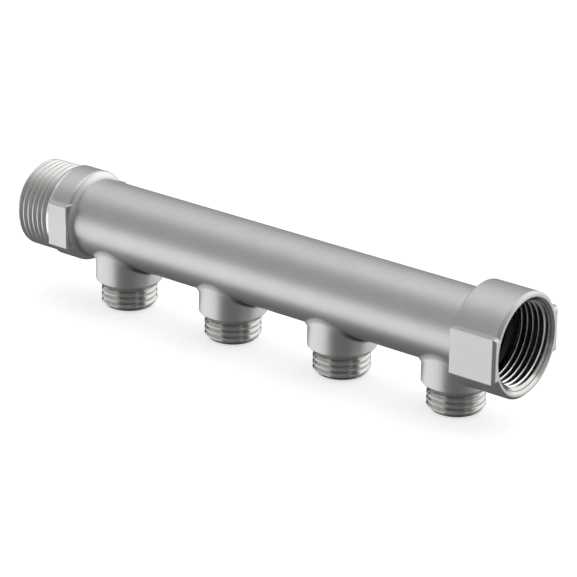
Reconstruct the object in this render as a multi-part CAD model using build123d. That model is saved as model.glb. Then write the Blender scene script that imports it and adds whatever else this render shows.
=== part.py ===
from build123d import *
from build123d.topology import SkipClean
from math import cos, radians, sin
import os

os.makedirs("parts", exist_ok=True)

# Pipe manifold: one casting with a male and a female main thread and four male outlets
# Millimetres, +Z up. The waterway runs along X and the outlets point down
# Positions below are from the first outlet's axis. The finished part is moved along X at the end,
# so that its origin is on the main axis at the shoulder face where the male thread stops

# Main pipe
pipe_r = 14.75
bore_r = 12.0

# Outlets: each boss grows out of the pipe with a blended root and ends in a 45 degree chamfer
outlets = 4
outlet_pitch = 50.0
outlet_bore_r = 7.5
outlet_end_z = -31.0
boss_r = 12.55
boss_end_z = -22.5
boss_root = 1.1

# Threads: outer radius, pitch, depth and the height of a crest at angle 0 above the end face
male_thread = (16.6245, 2.309, 1.479, 2.08)
female_thread = (16.6245, 2.309, 1.479, 0.6)
outlet_thread = (10.4775, 2.25, 1.2, 2.27)
crest_share = 0.22      # the flat on a ridge, as a share of the pitch
male_thread_chamfer = 1.4
outlet_thread_chamfer = 1.65

# Male end, at -X
male_end_x = -41.8
male_face_x = -26.4
male_face_chamfer = 0.4
male_collar_r = 17.25
male_shoulder_x = (-17.3, -14.2)
male_shoulder_r = 2.0
male_shoulder_turn = 50.0
male_pad_x = (-25.0, -15.6)
male_pad_y = 17.35
male_pad_half = 8.6

# Female end, at +X
female_back_x = 159.6
female_end_x = 178.4
female_collar_r = 19.2
female_pad_y = 19.6
female_pad_half = 8.45
female_thread_length = 14.6
female_mouth_r = 17.3
female_floor_r = 13.5
female_rim = 1.0
female_back_edge = 0.4

# Small edges
pad_edge_r = 0.6
bore_chamfer = 0.6

# A ridge is sunk past its root by the first length and made past its final crest by the second;
# the core it stands on lies between the root and the ridge's sunk foot
ridge_sink = 0.3
ridge_over = 0.2
core_sink = 0.12
pieces_per_turn = 4


def turned(*points):
    """A solid turned about Z from a half section of (radius, height) points."""
    return revolve(make_face(Plane.XZ * Polyline(*points, close=True)), Axis.Z)


def rod(radius, low, high):
    """A plain cylinder about Z from one height to another."""
    return Pos(Z=low) * Cylinder(radius, high - low, align=(Align.CENTER, Align.CENTER, Align.MIN))


def ridge_piece(root_r, crest_r, pitch):
    """A quarter turn of a thread's ridge about Z, its crest trimmed to a true cylinder."""
    outward = 1 if crest_r > root_r else -1
    depth = abs(crest_r - root_r)
    slope = (1 - crest_share) * pitch / 2 / depth
    root_half = pitch / 2 + ridge_sink * slope
    crest_half = crest_share * pitch / 2 - ridge_over * slope
    tip = outward * (ridge_sink + depth + ridge_over)
    path = Helix(pitch, pitch / pieces_per_turn, root_r - outward * ridge_sink)
    corners = [(0, -root_half), (0, root_half), (tip, crest_half), (tip, -crest_half)]
    section = Plane(path @ 0, x_dir=(1, 0, 0), z_dir=(0, -1, 0)) * Polyline(*corners, close=True)
    piece = sweep(make_face(section), path=path, is_frenet=True)
    # turned half round, so that the cylinder's seam misses the piece
    crest = Rot(Z=180) * rod(crest_r, -2 * pitch, 3 * pitch)
    return piece & crest if outward > 0 else piece - crest


def add_ridges(core, root_r, crest_r, pitch, low, high, phase):
    """A thread's ridges on a core about Z from low to high, with a crest at angle 0 at the phase height."""
    piece = ridge_piece(root_r, crest_r, pitch)
    step = pitch / pieces_per_turn
    numbers = range(round((low - phase) / step), round((high - phase) / step))
    pieces = [Pos(Z=phase + step * n) * Rot(Z=360 / pieces_per_turn * n) * piece for n in numbers]
    return core.fuse(*pieces)


def spigot(thread, edge, length):
    """A male thread about Z, its chamfered end face at 0, that runs into a shoulder at length."""
    outer_r, pitch, depth, phase = thread
    root_r = outer_r - depth
    low, high = -pitch, length + pitch
    far = outer_r + 5
    core = rod(root_r - core_sink, low - pitch, high + pitch)
    screw = add_ridges(core, root_r, outer_r, pitch, low, high, phase)
    end = turned((0, low - 2 * pitch), (far, low - 2 * pitch), (far, far - outer_r + edge),
                 (outer_r - edge, 0), (0, 0))
    return screw - end - rod(far, length + 0.5, high + 2 * pitch)


def socket(thread, length):
    """A female thread's lining about Z, with its mouth at 0 and its inner end at -length."""
    outer_r, pitch, depth, phase = thread
    crest_r = outer_r - depth
    low, high = -length - pitch, pitch
    tube = rod(female_mouth_r, low - pitch, high + pitch)
    tube = tube - rod(outer_r + core_sink, low - 2 * pitch, high + 2 * pitch)
    lining = add_ridges(tube, outer_r, crest_r, pitch, low, high, phase)
    far = female_mouth_r + 5
    inner = crest_r - 1
    mouth = turned((0, inner - female_mouth_r), (inner, inner - female_mouth_r), (female_mouth_r, 0),
                   (far, 0), (far, high + 2 * pitch), (0, high + 2 * pitch))
    floor = turned((0, -length), (far, -length), (far, low - 3 * pitch), (0, low - 3 * pitch))
    return lining - mouth - floor


def shaft():
    """The main pipe with the male collar, whose shoulder rounds over and falls to the pipe as a cone."""
    top = (male_shoulder_x[0], male_collar_r)
    foot = (male_shoulder_x[1], pipe_r)
    turn = radians(male_shoulder_turn)
    brow = (top[0] + male_shoulder_r * sin(turn), top[1] - male_shoulder_r * (1 - cos(turn)))
    far_x = female_back_x + 10
    straight = Polyline(brow, foot, (far_x, pipe_r), (far_x, 0), (male_face_x, 0),
                        (male_face_x, male_collar_r - male_face_chamfer),
                        (male_face_x + male_face_chamfer, male_collar_r), top)
    curve = TangentArc(top, brow, tangent=(1, 0))
    return revolve(make_face([Plane.XZ * straight, Plane.XZ * curve]), Axis.X)


def boss():
    """One outlet's boss about Z."""
    end_r = outlet_thread[0]
    return turned((0, 0), (boss_r, 0), (boss_r, boss_end_z + boss_r - end_r), (end_r, boss_end_z), (0, boss_end_z))


def male_pads():
    """The two spanner flats of the male collar, as one block through it with the flats' edges rounded."""
    low, high = male_pad_x
    block = Pos(X=(low + high) / 2) * Box(high - low, 2 * male_pad_y, 2 * male_pad_half)
    return fillet([edge for edge in block.edges() if abs(edge.center().Y) > bore_r], pad_edge_r)


def female_collar():
    """The female collar and its two spanner flats, one outline along X with chamfered ends."""
    outline = Circle(female_collar_r) + Rectangle(2 * female_pad_y, 2 * female_pad_half)
    collar = Pos(X=female_back_x) * extrude(Plane.YZ * outline, female_end_x - female_back_x)
    collar = chamfer(collar.edges().group_by(Axis.X)[-1], female_rim)
    return chamfer(collar.edges().group_by(Axis.X)[0], female_back_edge)


def outside():
    """The casting's outside, without bores and threads."""
    pipe = shaft().fuse(*[Pos(X=n * outlet_pitch) * boss() for n in range(outlets)])
    roots = [edge for edge in pipe.edges() if edge.geom_type == GeomType.BSPLINE]
    return chamfer(roots, boss_root) + male_pads() + female_collar()


def waterways():
    """What is cut from the casting: the main bore, the socket's hollow and the outlets' bores."""
    length = female_end_x - male_end_x
    floor_z = length - female_thread_length
    cone_z = floor_z - (female_floor_r - bore_r)
    edge_r = bore_r + bore_chamfer
    main = turned((0, 0), (edge_r, 0), (bore_r, bore_chamfer), (bore_r, cone_z), (female_floor_r, floor_z),
                  (female_mouth_r, floor_z), (female_mouth_r, length), (0, length))
    branch = rod(outlet_bore_r, outlet_end_z, 0)
    return [Pos(X=male_end_x) * Rot(Y=90) * main] + [Pos(X=n * outlet_pitch) * branch for n in range(outlets)]


def manifold_body():
    """The whole casting. Faces stay as they are made, so that each crest keeps its own pieces."""
    casting = outside()
    with SkipClean():
        inlet = Pos(X=male_end_x) * Rot(Y=90) * spigot(male_thread, male_thread_chamfer, male_face_x - male_end_x)
        outlet = Pos(Z=outlet_end_z) * spigot(outlet_thread, outlet_thread_chamfer, boss_end_z - outlet_end_z)
        lining = Pos(X=female_end_x) * Rot(Y=90) * socket(female_thread, female_thread_length)
        spigots = [inlet] + [Pos(X=n * outlet_pitch) * outlet for n in range(outlets)]
        return casting.fuse(*spigots).cut(*waterways()).fuse(lining)


body = Pos(X=-male_face_x) * manifold_body()
export_step(body, "parts/manifold_body.step")
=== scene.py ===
import math
import bpy
from mathutils import Matrix, Vector


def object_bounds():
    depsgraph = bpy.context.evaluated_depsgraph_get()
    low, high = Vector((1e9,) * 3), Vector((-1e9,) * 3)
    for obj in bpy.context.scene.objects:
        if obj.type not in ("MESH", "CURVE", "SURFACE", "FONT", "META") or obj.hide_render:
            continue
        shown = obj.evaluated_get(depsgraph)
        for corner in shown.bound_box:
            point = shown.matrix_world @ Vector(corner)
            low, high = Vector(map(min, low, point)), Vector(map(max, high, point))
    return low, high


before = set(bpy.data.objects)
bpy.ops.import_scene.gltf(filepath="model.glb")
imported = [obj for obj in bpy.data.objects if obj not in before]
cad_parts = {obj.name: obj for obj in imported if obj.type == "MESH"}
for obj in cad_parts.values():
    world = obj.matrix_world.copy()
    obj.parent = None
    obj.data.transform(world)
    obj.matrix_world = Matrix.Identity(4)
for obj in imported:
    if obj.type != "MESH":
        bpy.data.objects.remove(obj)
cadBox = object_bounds()
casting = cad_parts["manifold_body"]
print("frame loaded, the casting is %.0f mm long" % ((cadBox[1].x - cadBox[0].x) * 1000))


class Wire:  # one socket that can be written into ordinary arithmetic
    def __init__(self, graph, socket):
        self.graph = graph
        self.socket = socket

    def maths(self, operation, *others):
        return self.graph.add("Math", {"operation": operation}, dict(enumerate((self,) + others)))

    def __add__(self, other):
        return self.maths("ADD", other)

    def __sub__(self, other):
        return self.maths("SUBTRACT", other)

    def __mul__(self, other):
        return self.maths("MULTIPLY", other)

    def __truediv__(self, other):
        return self.maths("DIVIDE", other)

    def __pow__(self, other):
        return self.maths("POWER", other)

    def __radd__(self, other):
        return self + other

    def __rmul__(self, other):
        return self * other

    def __rsub__(self, other):
        return self * -1 + other

    def lift(self, low, high):  # 0 below low, 1 above high, straight between
        return self.graph.add("MapRange", {"clamp": True}, {"Value": self, "From Min": low, "From Max": high})

    def drop(self, low, high):  # 1 below low, 0 above high
        return 1 - self.lift(low, high)

    def near(self, middle, low, high):  # 1 closer to the middle than low, 0 farther from it than high
        return (self - middle).maths("ABSOLUTE").drop(low, high)


class Graph:  # a node tree with one way to add any node
    def __init__(self, owner):
        owner.use_nodes = True
        self.tree = owner.node_tree
        self.tree.nodes.clear()

    def add(self, kind, settings=None, inputs=None, output=0):
        node = self.tree.nodes.new("ShaderNode" + kind)
        for name, value in (settings or {}).items():
            setattr(node, name, value)
        for name, value in (inputs or {}).items():
            if isinstance(value, Wire):
                self.tree.links.new(value.socket, node.inputs[name])
            else:
                node.inputs[name].default_value = value
        return Wire(self, node.outputs[output]) if node.outputs else None

    def mix(self, share, first, second):  # colours, where share 0 is the first
        return self.add("Mix", {"data_type": "RGBA"}, {0: share, 6: first, 7: second}, output=2)

    def blend(self, share, first, second):  # the same for directions
        return self.add("Mix", {"data_type": "VECTOR"}, {0: share, 4: first, 5: second}, output=1)

    def vector(self, operation, first, second):
        return self.add("VectorMath", {"operation": operation}, {0: first, 1: second})

    def split(self, vector):
        node = self.add("SeparateXYZ", None, {0: vector}).socket.node
        return [Wire(self, socket) for socket in node.outputs]


castingLook = {
    # colours
    "blasted": (0.66, 0.66, 0.655, 1.0),  # the skin that the shot leaves
    "blastedDeep": (0.635, 0.635, 0.632, 1.0),  # the same in its faint clouds
    "brow": (0.80, 0.80, 0.795, 1.0),  # painted highlight on the upper side of the shoulder's round
    "creaseShade": (0.36, 0.36, 0.355, 1.0),  # painted shade in the corner under the shoulder
    "rootShade": (0.09, 0.09, 0.089, 1.0),  # the same painted shade in the bosses' roots
    # painted shade: the bore and the branch holes are drawn near black
    "inside": (0.05, 0.05, 0.049, 1.0),
    "machined": (0.64, 0.63, 0.61, 1.0),
    "endFaceShade": (0.54, 0.53, 0.515, 1.0),  # the ring round the socket's mouth, darker than the other machined steel as painted shade
    "groove": (0.36, 0.35, 0.335, 1.0),  # painted shade at the roots of the outlets' threads
    "mainThread": (0.80, 0.795, 0.78, 1.0),  # painted highlight: the main outside thread lighter than the other machined steel, its grooves less so
    "mainGroove": (0.72, 0.715, 0.70, 1.0),
    "landHighlight": (0.88, 0.88, 0.87, 1.0),  # the ring that was turned beside the main outside thread, lighter as a painted highlight
    "socketCrestHighlight": (0.97, 0.97, 0.96, 1.0),  # painted highlight along the crests of the socket's thread
    "socketEndShade": (0.05, 0.05, 0.048, 1.0),  # painted shade on the step behind the socket's last turn, and on its mouth's line
    # how much of such a colour lies over the one below it
    "creaseShare": 0.9,
    "rootShare": 0.8,
    "mouthShare": 0.7,
    "landShare": 0.9,

    # roughness, and what is added to it
    "blastedRoughness": 0.40,
    "pitRoughness": 0.10,
    "machinedRoughness": 0.16,
    "markRoughness": 0.12,  # by the turning marks
    "threadRoughness": 0.14,  # on the main outside thread
    "socketRoughness": 0.04,
    "insideRoughness": 0.55,

    # relief in mm, and its patterns
    "pitDepth": 0.012,
    "cloudDepth": 0.03,
    "markDepth": 0.006,
    "grain": 0.35,  # mm across one pit of the blasting
    "cloudScale": 0.09,  # clouds in a mm
    "cloudFade": (0.35, 0.65),
    "markScale": 9.0,  # turning marks in a mm along the axis
    "markDraw": 0.05,  # the same across it, which draws them out into rings

    # places in mm; over a pair of them a zone comes in or goes out
    "pitch": 50.0,  # between the outlets
    "firstOutlet": 26.4,
    "threadEnd": (-0.3, 0.1),  # x where the main outside thread stops
    "landEnd": (1.32, 1.48),  # x where the machined ring beside it stops
    "landRadius": (16.8, 17.0),
    "maleFlank": (15.2, 15.9),  # radius from groove to crest
    "outletTop": (-22.5, -22.4),  # z where the outlets' threads stop
    "outletFlank": (9.35, 9.9),
    "boreWall": (12.05, 12.2),
    "boreCone": (186.0, 187.0),  # x where the bore widens towards the socket
    "boreWidens": 1.8,
    "branchWall": (7.55, 7.7),
    "branchTop": (-12.0, -11.0),

    "shoulderFoot": 12.2,
    "creaseWidth": (0.1, 1.1),  # to both sides of the shoulder's foot
    "creaseRadius": (15.6, 16.2),
    "creaseTop": (-10.0, 0.0),
    "browMiddle": 10.6,
    "browWidth": (0.6, 1.6),
    "browFoot": (14.9, 15.7),  # radius at its lower edge
    "browHead": (17.3, 17.5),
    "browUnder": (-12.0, -2.0),  # z where it fades round the side

    "rootInner": (12.3, 12.5),  # from the outlet's axis
    "rootOuter": (14.2, 15.0),
    "rootRadius": (16.4, 17.0),  # from the pipe's axis
    "rootTop": (-4.0, 0.0),
    "greyOuter": (13.5, 14.0),
    "greyRadius": (15.7, 16.1),
    "greyAngle": 30.0,  # degrees to both sides of the line to the female end
    "greySpread": (0.88, 0.99),  # cosines

    "socketStart": (189.7, 189.8),
    "socketFloor": (190.3, 190.4),
    "socketWall": (17.2, 17.4),
    "faceStart": (204.7, 204.75),
    "mainPitch": 2.309,
    "socketCrest": 205.4,  # x of a crest straight below the axis
    "crestEdge": 0.3,  # from the crest's middle towards the mouth
    "crestHighlightLine": (0.15, 0.35),  # half the width of the line there
    "socketMouth": 187.5,  # x less the radius, on the cone at the socket's mouth
    "mouthCone": (0.05, 0.25),  # depth below that cone
    "mouthRadius": 16.3,  # of the line that the tool left on that cone, drawn dark as painted shade
    "mouthShadeLine": (0.08, 0.20),

    # radii in m that edges are seen with
    "fineEdge": 0.0005,
    "broadEdge": 0.0016,  # at the threads and at the bosses' roots
    "threadShare": 0.6,  # of the broad one on the main outside thread
}


def turningMarks(graph, millimetres, squeeze):
    # Noise at the place times squeeze, an axis at a time: fine along the axis that the tool
    # moved along and drawn out across it.
    squeezed = graph.vector("MULTIPLY", millimetres, squeeze)
    return graph.add("TexNoise", None, {"Vector": squeezed, "Scale": 1.0, "Detail": 2.0})


def steelCasting(look):
    # Each zone is 1 inside and 0 outside, and the product of its limits. They follow the part's own
    # coordinates in mm: x along the pipe, z up, and the distances from the pipe's axis and from the
    # nearest outlet's axis by Pythagoras.
    graph = Graph(bpy.data.materials.new("steel casting"))
    place = graph.add("TexCoord", output="Object")
    millimetres = graph.vector("MULTIPLY", place, (1000.0, 1000.0, 1000.0))
    x, y, z = graph.split(millimetres)
    pipeRadius = (y * y + z * z) ** 0.5
    half = look["pitch"] / 2
    along = (x - look["firstOutlet"] + half).maths("MODULO", look["pitch"]) - half
    outletRadius = (along * along + y * y) ** 0.5

    threadZone = x.drop(*look["threadEnd"])
    maleZone = x.drop(*look["landEnd"])
    outletZone = z.drop(*look["outletTop"])
    socketZone = x.lift(*look["socketStart"]) * pipeRadius.drop(*look["socketWall"])
    faceZone = x.lift(*look["faceStart"])
    machined = (maleZone + outletZone + socketZone + faceZone).maths("MINIMUM", 1.0)
    cast = 1 - machined
    boreZone = (pipeRadius - x.lift(*look["boreCone"]) * look["boreWidens"]).drop(*look["boreWall"])
    branchZone = outletRadius.drop(*look["branchWall"]) * z.drop(*look["branchTop"])
    insideZone = boreZone.maths("MAXIMUM", branchZone)

    rootZone = outletRadius.lift(*look["rootInner"]) * outletRadius.drop(*look["rootOuter"])
    rootZone = rootZone * pipeRadius.drop(*look["rootRadius"]) * z.drop(*look["rootTop"])
    # the painted shade keeps to two corners of the root, and cosine is that of the angle between them and a
    # place
    aside = math.radians(look["greyAngle"])
    cosine = (along * math.cos(aside) + y.maths("ABSOLUTE") * math.sin(aside)) / outletRadius
    rootShadeZone = rootZone * cosine.lift(*look["greySpread"])
    rootShadeZone = rootShadeZone * pipeRadius.drop(*look["greyRadius"]) * outletRadius.drop(*look["greyOuter"])
    # painted highlight on the upper side of the shoulder's round
    browZone = x.near(look["browMiddle"], *look["browWidth"]) * z.lift(*look["browUnder"])
    browZone = browZone * pipeRadius.lift(*look["browFoot"]) * pipeRadius.drop(*look["browHead"])
    # painted shade in the corner under the shoulder
    creaseShadeZone = x.near(look["shoulderFoot"], *look["creaseWidth"]) * z.drop(*look["creaseTop"])
    creaseShadeZone = creaseShadeZone * pipeRadius.drop(*look["creaseRadius"])

    # painted highlight on the ring turned beside the main outside thread
    landHighlightZone = maleZone * pipeRadius.lift(*look["landRadius"])
    maleDepth = pipeRadius.drop(*look["maleFlank"]) * maleZone
    outletDepth = outletRadius.drop(*look["outletFlank"]) * outletZone
    # distance along the pipe from the crest's middle line, which climbs one pitch a turn
    climbed = y.maths("ARCTAN2", z * -1) * (look["mainPitch"] / math.tau)
    halfPitch = look["mainPitch"] / 2
    fromCrest = (x - look["socketCrest"] - climbed).maths("WRAP", halfPitch, -halfPitch)
    onCone = (look["socketMouth"] - x + pipeRadius).drop(*look["mouthCone"])
    # a painted highlight along the crests, and a painted shade line on the mouth's cone
    crestHighlightLine = fromCrest.near(look["crestEdge"], *look["crestHighlightLine"]) * (1 - onCone) * socketZone
    mouthShadeLine = pipeRadius.near(look["mouthRadius"], *look["mouthShadeLine"]) * onCone * socketZone
    # painted shade on the step behind the socket's last turn
    socketEndShade = x.drop(*look["socketFloor"]) * socketZone

    cloudy = {"Vector": millimetres, "Scale": look["cloudScale"], "Detail": 3.0, "Roughness": 0.6}
    clouds = graph.add("TexNoise", None, cloudy)
    pits = graph.add("TexNoise", None, {"Vector": millimetres, "Scale": 1 / look["grain"], "Detail": 2.0})
    specks = graph.add("TexVoronoi", None, {"Vector": millimetres, "Scale": 0.8 / look["grain"]})
    fine, drawn = look["markScale"], look["markDraw"]
    mainMarks = turningMarks(graph, millimetres, (fine, drawn, drawn))
    outletMarks = turningMarks(graph, millimetres, (drawn, drawn, fine))
    marks = mainMarks * (1 - outletZone) + outletMarks * outletZone

    skin = graph.mix(clouds.lift(*look["cloudFade"]), look["blasted"], look["blastedDeep"])
    # painted shade in the corner under the shoulder
    skin = graph.mix(creaseShadeZone * look["creaseShare"], skin, look["creaseShade"])
    # painted highlight on the shoulder's round
    skin = graph.mix(browZone, skin, look["brow"])
    # painted shade in two corners of each boss's root
    skin = graph.mix(rootShadeZone * look["rootShare"], skin, look["rootShade"])
    # painted shade: the end face darker than the other machined steel
    cut = graph.mix(faceZone, look["machined"], look["endFaceShade"])
    # painted shade in the outlets' grooves
    cut = graph.mix(outletDepth, cut, look["groove"])
    # painted highlight: the main outside thread lighter than the other machined steel
    cut = graph.mix(threadZone, cut, graph.mix(maleDepth, look["mainThread"], look["mainGroove"]))
    # painted highlight along the socket's crests
    cut = graph.mix(crestHighlightLine, cut, look["socketCrestHighlight"])
    # painted shade on the socket's step and on its mouth's line
    cut = graph.mix(socketEndShade + mouthShadeLine * look["mouthShare"], cut, look["socketEndShade"])
    # painted highlight on the turned ring beside the main outside thread
    cut = graph.mix(landHighlightZone * look["landShare"], cut, look["landHighlight"])
    colour = graph.mix(machined, skin, cut)
    # painted shade: the bore and the branch holes near black
    colour = graph.mix(insideZone, colour, look["inside"])

    castRough = look["blastedRoughness"] + (pits - 0.5) * look["pitRoughness"]
    cutRough = look["machinedRoughness"] + (marks - 0.5) * look["markRoughness"]
    cutRough = cutRough + threadZone * look["threadRoughness"] + socketZone * look["socketRoughness"]
    rough = castRough * cast + cutRough * machined
    rough = rough * (1 - insideZone) + look["insideRoughness"] * insideZone

    # the height is in mm, so the bump's distance is one of them
    height = (pits + specks) * 0.5 * look["pitDepth"] * cast + marks * look["markDepth"] * machined
    height = height + clouds * look["cloudDepth"] * cast
    fineEdge = graph.add("Bevel", {"samples": 6}, {"Radius": look["fineEdge"]})
    broadEdge = graph.add("Bevel", {"samples": 10}, {"Radius": look["broadEdge"]})
    sharpEdge = graph.add("NewGeometry", output="Normal")  # the socket's, as it is in the mesh
    broad = (threadZone * look["threadShare"] + outletZone + rootZone).maths("MINIMUM", 1.0)
    edge = graph.blend(socketZone, graph.blend(broad, fineEdge, broadEdge), sharpEdge)
    edge = graph.add("VectorMath", {"operation": "NORMALIZE"}, {0: edge})
    relief = {"Strength": 1.0, "Distance": 0.001, "Height": height, "Normal": edge}
    bump = graph.add("Bump", None, relief)

    finish = {"Base Color": colour, "Roughness": rough, "Metallic": 1.0, "Normal": bump}
    graph.add("OutputMaterial", None, {"Surface": graph.add("BsdfPrincipled", None, finish)})
    return bpy.data.materials["steel casting"]


casting.data.materials.clear()
casting.data.materials.append(steelCasting(castingLook))
print("casting finished")

cameraPlace = {
    "target": (0.10196, 0.0, -0.005721),  # m
    "azimuth": 37.679,  # degrees from -Y towards +X
    "elevation": 22.45,
    "roll": 0.598,
    "distance": 1.108069,  # m
    "lens": 191.96,  # mm, on a sensor of 36
    "sees": (0.05, 20.0),  # m, the nearest and the farthest
}


def photographCamera(place):
    # A camera on a sphere round the target. The unit vector back, from the target to it, is the sine
    # and less the cosine of the azimuth, both times the elevation's cosine, and the elevation's sine.
    azimuth = math.radians(place["azimuth"])
    elevation = math.radians(place["elevation"])
    level = math.cos(elevation)
    back = Vector((math.sin(azimuth) * level, -math.cos(azimuth) * level, math.sin(elevation)))
    right = Vector((0, 0, 1)).cross(back).normalized()
    up = back.cross(right)
    roll = math.radians(place["roll"])
    rolledRight = right * math.cos(roll) + up * math.sin(roll)
    rolledUp = up * math.cos(roll) - right * math.sin(roll)
    turn = Matrix((rolledRight, rolledUp, back)).transposed()
    data = bpy.data.cameras.new("photograph camera")
    data.lens = place["lens"]
    data.clip_start, data.clip_end = place["sees"]
    camera = bpy.data.objects.new("photograph camera", data)
    stand = Vector(place["target"]) + back * place["distance"]
    camera.matrix_world = Matrix.Translation(stand) @ turn.to_4x4()
    bpy.context.scene.collection.objects.link(camera)
    bpy.context.scene.camera = camera


photographCamera(cameraPlace)
print("camera placed")

floorLook = {
    "half": 6.0,  # m from the middle to an edge
    "gap": 0.0002,  # m between it and the outlets' ends
    "colour": (0.90, 0.90, 0.90, 1.0),
    "glow": 0.60,  # lifts the lit floor to white, and leaves the shadow
}


def studioFloor(look, height):
    # A level square from less half to half along X and Y. It is matt, and the camera sees the glow
    # added to its light.
    half = look["half"]
    corners = [(-half, -half, height), (half, -half, height), (half, half, height), (-half, half, height)]
    mesh = bpy.data.meshes.new("studio floor")
    mesh.from_pydata(corners, [], [(0, 1, 2, 3)])
    floor = bpy.data.objects.new("studio floor", mesh)
    bpy.context.scene.collection.objects.link(floor)
    material = bpy.data.materials.new("pale floor")
    graph = Graph(material)
    rays = graph.add("LightPath").socket.node.outputs
    seen = Wire(graph, rays["Is Camera Ray"])
    matt = graph.add("BsdfDiffuse", None, {"Color": look["colour"]})
    glow = graph.add("Emission", None, {"Color": (1, 1, 1, 1), "Strength": seen * look["glow"]})
    graph.add("OutputMaterial", None, {"Surface": graph.add("AddShader", None, {0: matt, 1: glow})})
    mesh.materials.append(material)
    floor.visible_glossy = False  # the steel shows the studio's ground and panels instead


studioFloor(floorLook, cadBox[0].z - floorLook["gap"])
print("floor laid")

studio = {
    "ceiling": 0.45,  # brightness of the bare studio above the horizon
    "ground": 0.165,  # and below it
    "softness": 10.0,  # degrees over which a panel's edge fades
    # the middle's azimuth from +X towards +Y and its elevation, the width and the height, in degrees,
    # and the brightness, which a dark panel takes away
    "panels": {
        "low left": (210, -20, 96, 42, 1.02),
        "low back": (130, -15, 60, 50, -0.11),
        "top": (148, 57, 115, 45, 0.41),
        "overhead": (0, 90, 400, 46, 0.60),
        "right": (58, 10, 88, 80, 0.83),
        "front right": (0, -10, 40, 60, 0.20),
        "dark front": (300, 45, 76, 80, -0.26),
    },
}


def studioLight(setup):
    # Ground below, ceiling above, and soft-edged panels: each adds its brightness where the direction's
    # azimuth and elevation are both within half its width and height of its middle.
    world = bpy.data.worlds.new("studio")
    bpy.context.scene.world = world
    graph = Graph(world)
    x, y, z = graph.split(graph.add("TexCoord", output="Generated"))  # the direction, in a world
    azimuth = y.maths("ARCTAN2", x) * math.degrees(1)
    elevation = z.maths("ARCSINE") * math.degrees(1)
    soft = setup["softness"] / 2
    strength = setup["ground"] + (setup["ceiling"] - setup["ground"]) * elevation.lift(-soft, soft)
    for around, above, width, height, brightness in setup["panels"].values():
        aside = (azimuth - around).maths("WRAP", 180.0, -180.0)
        across = aside.near(0.0, width / 2 - soft, width / 2 + soft)
        upright = elevation.near(above, height / 2 - soft, height / 2 + soft)
        strength = strength + across * upright * brightness
    light = graph.add("Background", None, {"Color": (1, 1, 1, 1), "Strength": strength})
    graph.add("OutputWorld", None, {"Surface": light})


studioLight(studio)
bpy.context.scene.view_settings.view_transform = "Standard"
print("studio lit")
